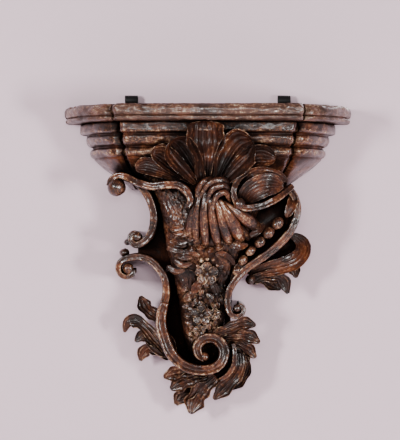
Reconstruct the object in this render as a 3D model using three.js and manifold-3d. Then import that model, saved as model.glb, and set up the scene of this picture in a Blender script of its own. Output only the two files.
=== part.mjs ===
// Carved wall bracket: a breakfront shelf board on a carved console with scrolls, shell and leaves.
// Millimetres, +Z up. The wall is the plane y = 0, and the bracket stands out from it towards -Y.
import * as THREE from 'three';
import { LoftGeometry } from 'three/addons/geometries/LoftGeometry.js';
import { mergeVertices } from 'three/addons/utils/BufferGeometryUtils.js';
import Module from 'manifold-3d';

const wasm = await Module();
wasm.setup();

// Driving sizes
const shelfWidth = 440;
const shelfDepth = 175;
const shelfThick = 25;
const shelfAboveOrigin = 30;
const breakfrontWidth = 280;
const breakfrontStep = 24;
const carvingDrop = 443;
const scrollWidth = 11;
const bottomScrollWidth = 16.5;
const leafThick = 9;
const backPlateThick = 14;
const leftWebThick = 50;
const pearlWebThick = 64;
const tongueWebThick = 40;
const strapWidth = 20;
const strapThick = 3.5;
const strapBelowShelf = 26;
const hangersApart = 234;
const eyeAboveShelf = 4;
const eyeOuter = 8;
const eyeBore = 4;
const fitGap = 0.3;
const weld = 0.001;

// The carving is drawn on a sheet of this width, depth and drop, and the driving sizes carry it
const sheet = { width: 440, depth: 175, drop: 443, underside: 30 };

const sideways = (x) => (x * shelfWidth) / sheet.width;
const outward = (y) => (y * shelfDepth) / sheet.depth;
const upward = (z) => shelfAboveOrigin + ((z - sheet.underside) * carvingDrop) / sheet.drop;
const place = (x, y, z) => new THREE.Vector3(sideways(x), outward(y), upward(z));

// Value part of the way along a short list, from its first entry at 0 to its last at 1
function along(values, share) {
  const list = Array.isArray(values) ? values : [values, values];
  const spot = Math.min(Math.max(share, 0), 1) * (list.length - 1);
  const low = Math.min(Math.floor(spot), list.length - 2);
  return THREE.MathUtils.lerp(list[low], list[low + 1], spot - low);
}

// Points on a spiral about a centre on the sheet; angles in degrees from +X towards +Z
function curl(centreX, centreZ, fromAngle, toAngle, fromRadius, toRadius) {
  const count = Math.max(3, Math.ceil(Math.abs(toAngle - fromAngle) / 45));
  const points = [];
  for (let i = 0; i <= count; i += 1) {
    const angle = THREE.MathUtils.degToRad(THREE.MathUtils.lerp(fromAngle, toAngle, i / count));
    const radius = THREE.MathUtils.lerp(fromRadius, toRadius, i / count);
    points.push([centreX + radius * Math.cos(angle), centreZ + radius * Math.sin(angle)]);
  }
  return points;
}

// Closed solid from a geometry: shared vertices merged, slivers dropped, faces turned outward
function solid(geometry) {
  const bare = new THREE.BufferGeometry().copy(geometry);
  bare.deleteAttribute('normal');
  bare.deleteAttribute('uv');
  const merged = mergeVertices(bare, weld);
  const points = merged.getAttribute('position').array;
  const corner = (i) => new THREE.Vector3().fromArray(points, 3 * i);
  const index = merged.index.array;
  const faces = [];
  let volume = 0;
  for (let i = 0; i < index.length; i += 3) {
    const [a, b, c] = [index[i], index[i + 1], index[i + 2]];
    if (a !== b && b !== c && a !== c) {
      faces.push([a, b, c]);
      volume += corner(a).dot(corner(b).cross(corner(c)));
    }
  }
  const turned = volume > 0 ? faces : faces.map(([a, b, c]) => [a, c, b]);
  const mesh = new wasm.Mesh({
    numProp: 3,
    vertProperties: new Float32Array(points),
    triVerts: new Uint32Array(turned.flat()),
  });
  return new wasm.Manifold(mesh);
}

function geometryOf(manifold) {
  const mesh = manifold.getMesh();
  const geometry = new THREE.BufferGeometry();
  geometry.setAttribute('position', new THREE.BufferAttribute(mesh.vertProperties, 3));
  geometry.setIndex(new THREE.BufferAttribute(mesh.triVerts, 1));
  geometry.computeVertexNormals();
  return geometry;
}

// Skin over rings of points, capped at both ends; the rings may run either way round
function loft(rings) {
  const sum = (ring) => ring.reduce((total, point) => total.add(point), new THREE.Vector3());
  const heading = sum(rings[1]).sub(sum(rings[0]));
  const spin = new THREE.Vector3();
  rings[0].forEach((point, i) => spin.add(point.clone().cross(rings[0][(i + 1) % rings[0].length])));
  const sections = spin.dot(heading) > 0 ? rings : rings.map((ring) => ring.slice().reverse());
  return solid(new LoftGeometry(sections, { closed: true, capStart: true, capEnd: true }));
}

function box(minX, maxX, minY, maxY, minZ, maxZ) {
  const geometry = new THREE.BoxGeometry(maxX - minX, maxY - minY, maxZ - minZ);
  geometry.translate((minX + maxX) / 2, (minY + maxY) / 2, (minZ + maxZ) / 2);
  return solid(geometry);
}

// Half plan of shelf and cornice at an inward offset, from the wall to the middle of the front
function halfPlan(inset) {
  const end = shelfWidth / 2 - inset;
  const step = breakfrontWidth / 2 - 0.42 * inset;
  const front = shelfDepth - inset;
  const wingFront = shelfDepth - breakfrontStep - 0.85 * inset;
  const wing = new THREE.CubicBezierCurve(
    new THREE.Vector2(end, 0),
    new THREE.Vector2(end, -0.42 * wingFront),
    new THREE.Vector2(end - 0.35 * (end - step), -0.86 * wingFront),
    new THREE.Vector2(step + 13, -wingFront),
  );
  const points = wing.getPoints(6);
  points.push(new THREE.Vector2(step + 3, -wingFront + 9));
  points.push(new THREE.Vector2(step, -wingFront + 5));
  points.push(new THREE.Vector2(step, -front + 7));
  points.push(new THREE.Vector2(step - 2.5, -front + 2));
  points.push(new THREE.Vector2(step - 8, -front));
  return points;
}

// Level ring of the whole plan; its two rear points lie on the wall plane
function planRing(inset, z) {
  const right = halfPlan(inset);
  const left = right.slice().reverse().map((point) => new THREE.Vector2(-point.x, point.y));
  return [...right, ...left].map((point) => new THREE.Vector3(point.x, point.y, z));
}

// Shelf edge, bottom to top: inset from the rim, and share of the thickness
const shelfEdge = [
  [10, 0], [3, 0.05], [1.8, 0.17], [4.2, 0.29], [1.2, 0.42], [0.2, 0.66], [2.2, 0.92], [7, 1],
];

function shelfBoard() {
  const rings = shelfEdge.map(([inset, share]) => planRing(inset, shelfAboveOrigin + share * shelfThick));
  return loft(rings).subtract(strapPockets(strapThick + fitGap));
}

// Cornice, top to bottom: inset from the shelf rim, and height on the sheet
const corniceProfile = [
  [26, 30], [24.5, 28], [24.5, 14.5], [34, 12.5], [33.5, 3], [38, -4], [43.5, -7.5], [40, -11], [40, -19],
  [46, -24], [54, -32], [72, -45], [100, -66],
];

function cornice() {
  const rings = corniceProfile.map(([inset, z]) => planRing(inset, upward(z) - (z === 30 ? fitGap : 0)));
  return loft(rings);
}

// Console body under the cornice, top to bottom: height, left and right half widths, depth
const bodySections = [
  [0, 128, 128, 104], [-50, 106, 112, 116], [-84, 76, 84, 124], [-125, 66, 66, 125], [-165, 60, 52, 111],
  [-207, 50, 38, 93], [-240, 45, 28, 82], [-293, 37, 23, 66], [-354, 18, 14, 36],
];

function bodyRing([z, left, right, depth]) {
  const corners = 0.22;
  return [
    place(-left, 0, z), place(-left, -depth * (1 - 1.6 * corners), z),
    place(-left * 0.94, -depth * (1 - 0.7 * corners), z), place(-left * 0.74, -depth * 0.965, z),
    place((right - left) / 2, -depth, z),
    place(right * 0.74, -depth * 0.965, z), place(right * 0.94, -depth * (1 - 0.7 * corners), z),
    place(right, -depth * (1 - 1.6 * corners), z), place(right, 0, z),
  ];
}

// Flat-fronted web from the wall forward, behind the hollows between the body and the scrolls
function web(outline, thick) {
  const shape = new THREE.Shape(outline.map(([x, z]) => new THREE.Vector2(sideways(x), upward(z))));
  const plate = new THREE.ExtrudeGeometry(shape, { depth: thick, bevelEnabled: false });
  plate.rotateX(Math.PI / 2);
  return solid(plate);
}

function webs() {
  const lowerLeft = [
    [-58, -168], [-64, -215], [-70, -262], [-64, -298], [-46, -327], [-16, -341], [20, -362],
    [36, -346], [44, -318], [34, -262], [40, -205],
  ];
  const betweenLeftScrolls = [
    [-60, -60], [-86, -82], [-81, -120], [-94, -148], [-106, -152], [-106, -172], [-80, -184], [-40, -200],
  ];
  const behindPearls = [[60, -80], [126, -74], [132, -98], [120, -136], [76, -174], [46, -196], [30, -160]];
  const besideTongue = [[70, -172], [118, -140], [142, -142], [145, -165], [118, -182], [74, -192]];
  return [
    web(lowerLeft, backPlateThick), web(betweenLeftScrolls, leftWebThick), web(behindPearls, pearlWebThick),
    web(besideTongue, tongueWebThick),
  ];
}

// Scroll band: a moulded strip whose front face has two edge fillets and a hollow between them,
// and whose sides run back towards the wall. Flare pushes the rear edge over to one side.
const bandFace = [[-0.5, 0.14], [-0.28, 0], [0, 0.22], [0.28, 0], [0.5, 0.14]];

function scroll(path, { width = scrollWidth, front, rear = 0, flare = 0, steps = 12 }) {
  const curve = new THREE.CatmullRomCurve3(path.map(([x, z]) => place(x, 0, z)), false, 'centripetal');
  const sections = [];
  for (let i = 0; i <= steps; i += 1) {
    const share = i / steps;
    const centre = curve.getPointAt(share);
    const tangent = curve.getTangentAt(share);
    const side = new THREE.Vector3(-tangent.z, 0, tangent.x);
    const wide = along(width, share);
    const face = outward(along(front, share));
    const foot = outward(along(rear, share));
    const lean = along(flare, share);
    const put = (shift, y) => centre.clone().addScaledVector(side, shift).setY(y);
    const ring = bandFace.map(([shift, dip]) => put(shift * wide, face + dip * Math.min(wide, scrollWidth)));
    ring.push(put(0.5 * wide + lean, foot));
    ring.push(put(-0.5 * wide + lean, foot));
    sections.push(ring);
  }
  return loft(sections);
}

// Leaf finger or shell lobe: a blade with raised rims and a hollow, widest part of the way along
const bladeFace = [[-1, 0.1], [-0.68, -0.3], [0, 0.35], [0.68, -0.3], [1, 0.1]];

function blade(spine, width, { swell = [0.55, 0.9, 1, 0.9, 0.45], thick = leafThick, steps = 4 } = {}) {
  const curve = new THREE.CatmullRomCurve3(spine.map(([x, y, z]) => place(x, y, z)), false, 'centripetal');
  const sections = [];
  for (let i = 0; i <= steps; i += 1) {
    const share = i / steps;
    const centre = curve.getPointAt(share);
    const tangent = curve.getTangentAt(share);
    const side = new THREE.Vector3(-tangent.z, 0, tangent.x).normalize();
    const out = new THREE.Vector3().crossVectors(tangent, side).normalize();
    if (out.y > 0) out.negate();
    const half = (width / 2) * along(swell, share);
    const relief = Math.min(0.4 * half, 0.5 * thick);
    const taper = thick * (1 - 0.45 * share);
    const across = side.multiplyScalar(half);
    const put = (shift, depth) => centre.clone().addScaledVector(across, shift).addScaledVector(out, -depth);
    const ring = bladeFace.map(([shift, dip]) => put(shift, dip * relief));
    ring.push(put(0.75, taper));
    ring.push(put(-0.75, taper));
    sections.push(ring);
  }
  return loft(sections);
}

// Rounded boss: a pearl, scroll end or petal
function boss(x, y, z, radiusX, radiusY = radiusX, radiusZ = radiusX, turn = 0) {
  const fine = Math.max(radiusX, radiusY) > 10;
  const geometry = new THREE.SphereGeometry(1, fine ? 10 : 6, fine ? 6 : 4);
  geometry.scale(radiusX, radiusY, radiusZ);
  geometry.rotateY(turn);
  const centre = place(x, y, z);
  geometry.translate(centre.x, centre.y, centre.z);
  return solid(geometry);
}

// Open flower facing out: five petals round a raised eye, as rings whose radius swells at each petal
function flower(x, y, z, radius) {
  const petals = 5;
  const levels = [[0.7, -1.8], [1, 0.1], [0.36, 0.1], [0.24, 0.55]];
  const middle = place(x, y, z);
  const rings = levels.map(([reach, rise]) => {
    const ring = [];
    for (let i = 0; i < 2 * petals; i += 1) {
      const angle = (i * Math.PI) / petals + 0.3;
      const notch = i % 2 === 1 && reach > 0.5 ? 0.72 : 1;
      const out = radius * reach * notch;
      const point = new THREE.Vector3(out * Math.cos(angle), -rise * radius * 0.6, out * Math.sin(angle));
      ring.push(point.add(middle));
    }
    return ring;
  });
  return loft(rings);
}

function leftScrolls() {
  const brow = [
    [-126, -49], [-105, -60], [-84, -66], [-60, -64], [-43, -65], [-31, -75], [-26, -87], [-31, -99],
  ];
  const upperC = [
    [-127, -53], [-108, -59], [-93, -75], [-84, -95], [-81, -114], [-85, -134], [-94, -147],
    ...curl(-107, -141, 268, 60, 12.5, 4.5),
  ];
  const middleC = [
    ...curl(-121, -190, 10, -258, 9, 16),
    [-105, -171], [-88, -176], [-75, -188], [-66, -201], [-63, -218], [-64, -233], [-69, -246],
  ];
  const longS = [
    [-64, -238], [-70, -258], [-70, -278], [-64, -297], [-57, -314], [-46, -327], [-33, -336], [-16, -341],
    ...curl(0, -313, 272, 610, 28, 13),
  ];
  return [
    scroll(brow, { width: [9, 11, 11, 12, 8], front: [-118, -140, -150, -154, -150], rear: -40 }),
    boss(-136, -108, -67, 14, 15, 14),
    scroll(upperC, {
      width: [10, 12, 12, 11, 7],
      front: [-112, -110, -104, -96, -92],
      flare: [0, 12, 10, 2, 0],
      rear: -4,
      steps: 18,
    }),
    boss(-106, -88, -141, 8, 7),
    scroll(middleC, { width: [7, 9, 11, 12, 12], front: [-74, -80, -86, -90, -84], rear: -4, steps: 19 }),
    boss(-120, -72, -189, 9, 7),
    scroll(longS, {
      width: [0.87, 1, 1, 0.94, 0.94, 1, 0.94, 0.65].map((share) => share * bottomScrollWidth),
      front: [-94, -92, -88, -84, -82, -80],
      steps: 27,
    }),
    boss(-5, -76, -321, 6.5),
    boss(-126, -66, -165, 8, 10, 7),
    boss(-121, -76, -149, 6, 10, 5),
  ];
}

function rightScrolls() {
  const leafRim = [
    [66, -43], [49, -52], [40, -64], [37, -77], [43, -91], [54, -98], [68, -97], [84, -93], [98, -86],
    [112, -77], [127, -64],
  ];
  const longC = [
    [112, -66], [124, -74], [132, -90], [133, -104], [129, -120], [122, -134], [111, -147], [96, -161],
    [78, -174], [58, -188], [43, -203], [33, -219], [29, -234],
    ...curl(44, -249, 172, 450, 14, 7),
  ];
  const outerBand = [[38, -300], [40, -318], [38, -336], [29, -350], [14, -360]];
  return [
    scroll(leafRim, { width: [7, 10, 11, 11, 9], front: [-146, -158, -156, -146, -122], rear: -60 }),
    scroll(longC, { width: [12, 12, 12, 12, 10, 7], front: [-104, -108, -106, -102, -96, -90], steps: 22 }),
    boss(44, -86, -248, 7, 6),
    scroll(outerBand, { width: [7, 8, 8, 7], front: [-70, -70, -66, -58], rear: -20, steps: 10 }),
  ];
}

// Shell under the shelf: a centre lobe that flares to the board, and side lobes that fan from its root
function shell() {
  const wide = { swell: [0.4, 0.62, 0.85, 1, 1, 0.7], thick: 26, steps: 5 };
  return [
    blade([[-4, -150, -60], [-2, -156, -20], [-3, -160, 6], [-4, -170, 24]], 50, wide),
    blade([[-12, -148, -58], [-28, -156, -34], [-42, -159, -14], [-54, -159, 1]], 42, wide),
    blade([[-22, -146, -56], [-50, -152, -34], [-68, -152, -20], [-77, -150, -14]], 24, wide),
    blade([[-40, -140, -56], [-70, -146, -44], [-92, -140, -40], [-104, -134, -36]], 18, wide),
    blade([[14, -148, -58], [34, -156, -30], [50, -159, -9], [66, -157, 0]], 50, wide),
    blade([[26, -146, -52], [44, -152, -32], [64, -152, -18], [80, -148, -16]], 26, wide),
  ];
}

// Drapery fan, top to bottom: height, left and right edges, depth, and how proud its folds stand
const draperyLevels = [
  [-54, -6, 24, 148, 2], [-68, -15, 26, 157, 4], [-84, -19, 24, 158, 7], [-102, -21, 38, 151, 10],
  [-124, -25, 60, 141, 10], [-146, -26, 56, 128, 7],
];
const draperyFolds = 5;

function drapery() {
  const rings = draperyLevels.map(([z, left, right, depth, proud]) => {
    const ring = [];
    for (let i = 0; i <= 2 * draperyFolds; i += 1) {
      const share = i / (2 * draperyFolds);
      const bulge = 13 * Math.sin(Math.PI * share);
      const crest = i % 2 === 1 ? proud : 0;
      const x = THREE.MathUtils.lerp(left, right, share);
      ring.push(place(x, -(depth - 16 + bulge + crest), z - 0.35 * crest));
    }
    ring.push(place(right, -70, z));
    ring.push(place(left, -70, z));
    return ring;
  });
  return [loft(rings), boss(8, -148, -62, 20, 12, 9)];
}

// Leaf rolled over beside the fan, inside its own rim
function rolledLeaf() {
  return [
    boss(80, -138, -64, 26, 18, 16, 0.25),
    blade([[52, -136, -62], [72, -154, -54], [96, -146, -58], [116, -124, -62]], 26, { thick: 20 }),
  ];
}

// Pearls that shrink down the inside of the right scroll: one beaded string from a leafy husk,
// round at the front and standing on the web behind
function pearls() {
  const route = new THREE.CatmullRomCurve3([
    place(110, -112, -114), place(80, -112, -146), place(58, -104, -168), place(38, -94, -200),
  ]);
  const count = 6;
  const stations = 3 * count;
  const stem = outward(-40);
  const rings = [];
  for (let i = 0; i <= stations; i += 1) {
    const share = i / stations;
    const middle = route.getPointAt(share);
    const tangent = route.getTangentAt(share);
    const side = new THREE.Vector3(-tangent.z, 0, tangent.x).normalize();
    const round = i % 3 === 0 ? 0.35 : 1;
    const size = THREE.MathUtils.lerp(7.6, 5.2, share) * round;
    const across = side.multiplyScalar(size);
    const put = (shift, y) => middle.clone().addScaledVector(across, shift).setY(y);
    const crest = middle.y - size;
    rings.push([
      put(-1, middle.y), put(-0.6, crest), put(0.6, crest), put(1, middle.y), put(0.7, stem), put(-0.7, stem),
    ]);
  }
  const husk = [[127, -100, -76], [125, -110, -92], [116, -112, -112]];
  return [loft(rings), blade(husk, 17, { swell: [0.5, 1, 0.9, 0.5] })];
}

function groundFlowers() {
  return [
    flower(-2, -107, -196, 18),
    blade([[-8, -98, -204], [-16, -100, -214], [-24, -94, -226]], 14),
    blade([[4, -98, -206], [10, -98, -216], [14, -90, -228]], 12),
    blade([[-16, -102, -190], [-30, -104, -184], [-40, -98, -188]], 12),
    blade([[12, -102, -190], [22, -102, -186], [30, -94, -192]], 10),
    flower(-10, -87, -258, 15),
    flower(10, -83, -257, 9),
    flower(-13, -73, -282, 9),
    blade([[-52, -106, -174], [-38, -116, -165], [-26, -116, -164], [-12, -112, -170]], 9),
    blade([[10, -112, -168], [22, -114, -166], [34, -106, -175], [40, -98, -184]], 9),
  ];
}

// Fingers of the leaves that spring from the lower scrolls
function lowerLeaves() {
  const finger = { swell: [0.6, 0.9, 1, 0.95, 0.5] };
  const palm = { swell: [0.4, 0.85, 1, 0.85, 0.5], thick: 7, steps: 4 };
  const leftMain = [
    [-56, -64, -322], [-76, -62, -300], [-92, -56, -281], [-108, -50, -269], [-121, -46, -271],
    [-127, -38, -287],
  ];
  return [
    blade([[-52, -56, -320], [-74, -48, -300], [-96, -40, -290]], 40, palm),
    blade(leftMain, 19, { ...finger, steps: 9 }),
    blade([[-64, -54, -314], [-84, -48, -298], [-99, -42, -292], [-111, -34, -301]], 17, finger),
    blade([[-58, -50, -324], [-78, -44, -313], [-92, -40, -311], [-99, -36, -319], [-103, -30, -331]], 18, finger),
    blade([[-66, -60, -272], [-82, -54, -258], [-96, -46, -247], [-101, -40, -236]], 17, finger),
    blade([[0, -66, -345], [-20, -68, -344], [-44, -60, -347], [-68, -48, -354]], 22, finger),
    blade([[0, -62, -350], [-22, -64, -354], [-42, -56, -363], [-57, -46, -373]], 24, finger),
    blade([[12, -62, -352], [-6, -62, -368], [-18, -54, -386], [-27, -44, -410]], 29, { ...finger, steps: 8 }),
    blade([[-8, -52, -364], [-28, -50, -376], [-42, -46, -386], [-49, -40, -397]], 21, finger),
    blade([[48, -62, -316], [48, -64, -338], [34, -58, -360], [8, -48, -388]], 22, { ...finger, steps: 8 }),
    blade([[54, -54, -322], [60, -50, -338], [52, -44, -358], [36, -38, -374]], 14, finger),
    blade([[8, -74, -288], [34, -74, -279], [54, -66, -272], [73, -56, -275]], 19, finger),
    blade([[14, -70, -294], [38, -68, -289], [60, -58, -291], [79, -48, -302]], 20, finger),
    blade([[18, -66, -302], [39, -62, -302], [58, -54, -311], [73, -44, -325]], 20, finger),
    blade([[24, -62, -310], [42, -58, -316], [54, -50, -326], [62, -42, -337]], 18, finger),
  ];
}

// Acanthus on the outside of the right scroll
function middleLeaves() {
  const tongue = [
    [66, -70, -196], [90, -72, -189], [116, -70, -183], [136, -66, -176], [147, -60, -164], [147, -54, -152],
    [138, -52, -141], [124, -56, -136],
  ];
  const finger = { swell: [0.6, 0.9, 1, 0.95, 0.5] };
  return [
    blade(tongue, 19, { ...finger, steps: 11, thick: 14 }),
    blade([[104, -62, -186], [120, -60, -188], [134, -52, -199]], 18, finger),
    blade([[70, -66, -198], [96, -60, -191], [112, -54, -198], [122, -44, -226]], 16, finger),
    blade([[58, -46, -188], [82, -34, -204], [100, -24, -216], [112, -20, -222]], 17, finger),
    boss(64, -70, -206, 8),
  ];
}

function strapPockets(deep) {
  const half = strapWidth / 2 + fitGap;
  const low = shelfAboveOrigin - strapBelowShelf - fitGap;
  const high = shelfAboveOrigin + shelfThick + 1;
  const pockets = [-1, 1].map((hand) => {
    const middle = hand * hangersApart / 2;
    return box(middle - half, middle + half, -deep, 1, low, high);
  });
  return wasm.Manifold.union(pockets);
}

function carvedBracket() {
  const pieces = [
    cornice(), loft(bodySections.map(bodyRing)), ...webs(),
    ...leftScrolls(), ...rightScrolls(), ...shell(), ...drapery(), ...rolledLeaf(), ...pearls(),
    ...groundFlowers(), ...lowerLeaves(), ...middleLeaves(),
  ];
  const reach = 2 * shelfWidth;
  const underShelf = shelfAboveOrigin - fitGap;
  const room = box(-reach, reach, -reach, 0, underShelf - 2 * carvingDrop, underShelf);
  return wasm.Manifold.union(pieces).intersect(room).subtract(strapPockets(strapThick + fitGap));
}

// Iron strap let into the back, with its top end rolled forward into an eye above the shelf
function hanger() {
  const top = shelfThick + eyeAboveShelf + eyeOuter;
  const strap = box(-strapWidth / 2, strapWidth / 2, -strapThick, 0, -strapBelowShelf, top);
  const ring = new THREE.CylinderGeometry(eyeOuter, eyeOuter, strapWidth, 14);
  ring.rotateZ(Math.PI / 2);
  ring.translate(0, -eyeOuter, top);
  const bore = new THREE.CylinderGeometry(eyeBore, eyeBore, strapWidth + 2, 10);
  bore.rotateZ(Math.PI / 2);
  bore.translate(0, -eyeOuter, top);
  return strap.add(solid(ring)).subtract(solid(bore));
}

function part(name, manifold, material, x = 0, z = 0) {
  const mesh = new THREE.Mesh(geometryOf(manifold), material);
  mesh.name = name;
  mesh.position.set(x, 0, z);
  return mesh;
}

const shelfWood = new THREE.MeshStandardMaterial({ color: 0x6b4c3a, roughness: 0.55, metalness: 0 });
const carvedWood = new THREE.MeshStandardMaterial({ color: 0x3d2318, roughness: 0.45, metalness: 0 });
const iron = new THREE.MeshStandardMaterial({ color: 0x1c1815, roughness: 0.6, metalness: 0.7 });

const bracket = new THREE.Group();
bracket.name = 'carved_wall_bracket';
bracket.add(part('shelf_board', shelfBoard(), shelfWood));
bracket.add(part('carved_bracket', carvedBracket(), carvedWood));
bracket.add(part('hanger_left', hanger(), iron, -hangersApart / 2, shelfAboveOrigin));
bracket.add(part('hanger_right', hanger(), iron, hangersApart / 2, shelfAboveOrigin));

export default bracket;
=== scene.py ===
# %% [markdown]
# A carved wall bracket from a Rococo interior: a shelf with a breakfront, a moulded cornice, and under
# it a console of scrolls, shell, drapery and leaves, cut from dark wood and waxed. The solids of the
# frame give every size and place. Each carved form is drawn here again with finer steps, so that rims,
# veins and rounded edges catch the light the way chisel work does.

# %% Load the frame
import math

import bmesh
import bpy
import numpy as np
from mathutils import Matrix, Vector, noise


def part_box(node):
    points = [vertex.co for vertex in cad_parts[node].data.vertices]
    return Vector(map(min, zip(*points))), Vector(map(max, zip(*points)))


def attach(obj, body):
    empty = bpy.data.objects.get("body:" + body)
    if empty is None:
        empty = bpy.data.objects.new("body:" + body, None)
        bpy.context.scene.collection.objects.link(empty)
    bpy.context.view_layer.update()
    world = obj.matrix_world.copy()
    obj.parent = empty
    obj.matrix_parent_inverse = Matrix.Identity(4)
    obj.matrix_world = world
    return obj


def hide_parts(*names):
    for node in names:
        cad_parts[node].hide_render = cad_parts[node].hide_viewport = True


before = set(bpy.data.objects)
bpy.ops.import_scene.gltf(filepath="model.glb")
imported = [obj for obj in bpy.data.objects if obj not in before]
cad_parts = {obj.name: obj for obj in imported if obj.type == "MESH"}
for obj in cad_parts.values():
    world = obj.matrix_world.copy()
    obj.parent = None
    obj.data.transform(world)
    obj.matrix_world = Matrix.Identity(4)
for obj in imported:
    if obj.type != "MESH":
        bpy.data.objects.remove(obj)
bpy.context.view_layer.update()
shelf_low, shelf_high = [Vector(corner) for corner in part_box("shelf_board")]
carving_low, carving_high = [Vector(corner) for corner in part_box("carved_bracket")]
print("shelf", shelf_low[:], shelf_high[:])
print("carving", carving_low[:], carving_high[:])

# %% [markdown]
# The camera stands square to the wall, level with the middle of the carving, and far enough back that
# the sides of the scrolls hardly show. Its lens follows from one number: how many pixels a metre of the
# piece would cover at one metre from the camera. A picture taller than it is wide has the sensor's width
# laid along its height, so the height in pixels is what counts.

# %% Camera
MM = 0.001
SENSOR = 36.0
picture_height = 440
pixels_per_metre_at_one_metre = 2213.0
camera_data = bpy.data.cameras.new("camera")
camera_data.sensor_width = SENSOR
camera_data.lens = SENSOR * pixels_per_metre_at_one_metre / picture_height
camera = bpy.data.objects.new("camera", camera_data)
camera.location = (-12 * MM, -3.4, -116 * MM)
camera.rotation_euler = (math.radians(90), 0, 0)
bpy.context.scene.collection.objects.link(camera)
bpy.context.scene.camera = camera
print("lens", round(camera_data.lens, 1))

# %% [markdown]
# The carving was set out on a sheet 440 mm wide and 175 mm deep. Every point below is given on that
# sheet in millimetres, and `spot` carries it to the real piece in metres, so the carving follows the
# frame if its size changes.

# %% From the sheet to the piece
SHEET_WIDTH, SHEET_DEPTH, SHEET_DROP, SHEET_UNDERSIDE = 439.6, 174.8, 442.4, 30.0
shelf_width = shelf_high.x - shelf_low.x
shelf_depth = -shelf_low.y
stretch_x = shelf_width / (SHEET_WIDTH * MM)
stretch_y = shelf_depth / (SHEET_DEPTH * MM)
stretch_z = (shelf_low.z - carving_low.z) / (SHEET_DROP * MM)
print("sheet to piece", round(stretch_x, 4), round(stretch_y, 4), round(stretch_z, 4))


def spot(x, y, z):
    """A point of the sheet, in metres on the piece."""
    return Vector((x * MM * stretch_x, y * MM * stretch_y,
                   shelf_low.z + (z - SHEET_UNDERSIDE) * MM * stretch_z))


def along(values, share):
    """The value part of the way along a short list, or the value itself where it doesn't change."""
    values = values if isinstance(values, (list, tuple)) else [values, values]
    place = min(max(share, 0.0), 1.0) * (len(values) - 1)
    low = min(int(place), len(values) - 2)
    return values[low] + (values[low + 1] - values[low]) * (place - low)


# %% [markdown]
# The scrolls were drawn with a few points for each long sweep and a spiral for the rolled end, as a carver
# marks them on the wood with a stick and compasses. A curve is laid through those points and then walked
# in even steps. Knots at the root of the distance are used, because they keep a curve from looping where
# two points lie close together.

# %% A smooth route through a few points
DEGREES_PER_POINT = 30
STEPS_PER_SPAN = 12


def curl(centre_x, centre_z, from_angle, to_angle, from_radius, to_radius):
    """Points on a spiral about a centre on the sheet, for the end of a scroll."""
    count = max(4, math.ceil(abs(to_angle - from_angle) / DEGREES_PER_POINT))
    points = []
    for i in range(count + 1):
        angle = math.radians(from_angle + (to_angle - from_angle) * i / count)
        radius = from_radius + (to_radius - from_radius) * i / count
        points.append((centre_x + radius * math.cos(angle), centre_z + radius * math.sin(angle)))
    return points


def smooth_route(points, count):
    """Evenly spaced points and directions on a smooth curve through the given points."""
    ends = [points[0] * 2 - points[1], *points, points[-1] * 2 - points[-2]]
    dense = []
    for i in range(1, len(ends) - 2):
        before, start, end, after = ends[i - 1:i + 3]
        knots = [0.0]
        for here, there in ((before, start), (start, end), (end, after)):
            knots.append(knots[-1] + max((there - here).length, 1e-9) ** 0.5)
        for step in range(STEPS_PER_SPAN):
            t = knots[1] + (knots[2] - knots[1]) * step / STEPS_PER_SPAN
            a = before.lerp(start, (t - knots[0]) / (knots[1] - knots[0]))
            b = start.lerp(end, (t - knots[1]) / (knots[2] - knots[1]))
            c = end.lerp(after, (t - knots[2]) / (knots[3] - knots[2]))
            ab = a.lerp(b, (t - knots[0]) / (knots[2] - knots[0]))
            bc = b.lerp(c, (t - knots[1]) / (knots[3] - knots[1]))
            dense.append(ab.lerp(bc, (t - knots[1]) / (knots[2] - knots[1])))
    dense.append(points[-1].copy())
    line = np.array([point[:] for point in dense])
    travelled = np.concatenate([[0], np.cumsum(np.linalg.norm(np.diff(line, axis=0), axis=1))])
    wanted = np.linspace(0, travelled[-1], count + 1)
    even = np.stack([np.interp(wanted, travelled, line[:, k]) for k in range(3)], axis=1)
    heading = np.gradient(even, axis=0)
    heading /= np.linalg.norm(heading, axis=1, keepdims=True)
    return [Vector(point) for point in even], [Vector(direction) for direction in heading]


print("points on a rolled end of one turn", len(curl(0, 0, 0, 360, 10, 5)))


# %% [markdown]
# All forms of one piece are gathered in one block, as they are cut from one piece of wood. Beside its
# place, every point carries three values that the finish reads later. `rub` remembers how much hands and
# dusters have rubbed it. `run` and `across` say how far along and how far across its form it lies, so
# that the wax can streak along the cuts. Values on the points are used and no painted map, because they
# stay right when the piece changes.

# %% A block to carve
def new_block():
    """An empty bmesh with the values that every carved form carries."""
    bm = bmesh.new()
    for name in ("rub", "run", "across"):
        bm.verts.layers.float.new(name)
    bm.verts.layers.int.new("foot")
    return bm


def frame_at(centre, side, inward, wide, deep):
    """Section space to the piece: first axis across the form, second into the wood."""
    third = side.cross(inward)
    return Matrix(((side.x * wide, inward.x * deep, third.x, centre.x),
                   (side.y * wide, inward.y * deep, third.y, centre.y),
                   (side.z * wide, inward.z * deep, third.z, centre.z),
                   (0, 0, 0, 1)))


def join_form(bm, form):
    """Adds one finished form to the block of its piece."""
    mesh = bpy.data.meshes.new("form")
    form.to_mesh(mesh)
    form.free()
    bm.from_mesh(mesh)
    bpy.data.meshes.remove(mesh)


empty_block = new_block()
print("values on every point", empty_block.verts.layers.float.keys())
empty_block.free()

# %% [markdown]
# A carver works each scroll and leaf as one long form with the same section from end to end. In a mesh
# that is an extrusion: one small face, pulled along a route step by step, and turned and scaled at each
# step. A curve with a bevel could do it too, but it couldn't give each point its values. The front of the
# section rides on one frame and the foot on another, so a band can lean or grow deeper without its
# mouldings being squashed.

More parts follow.
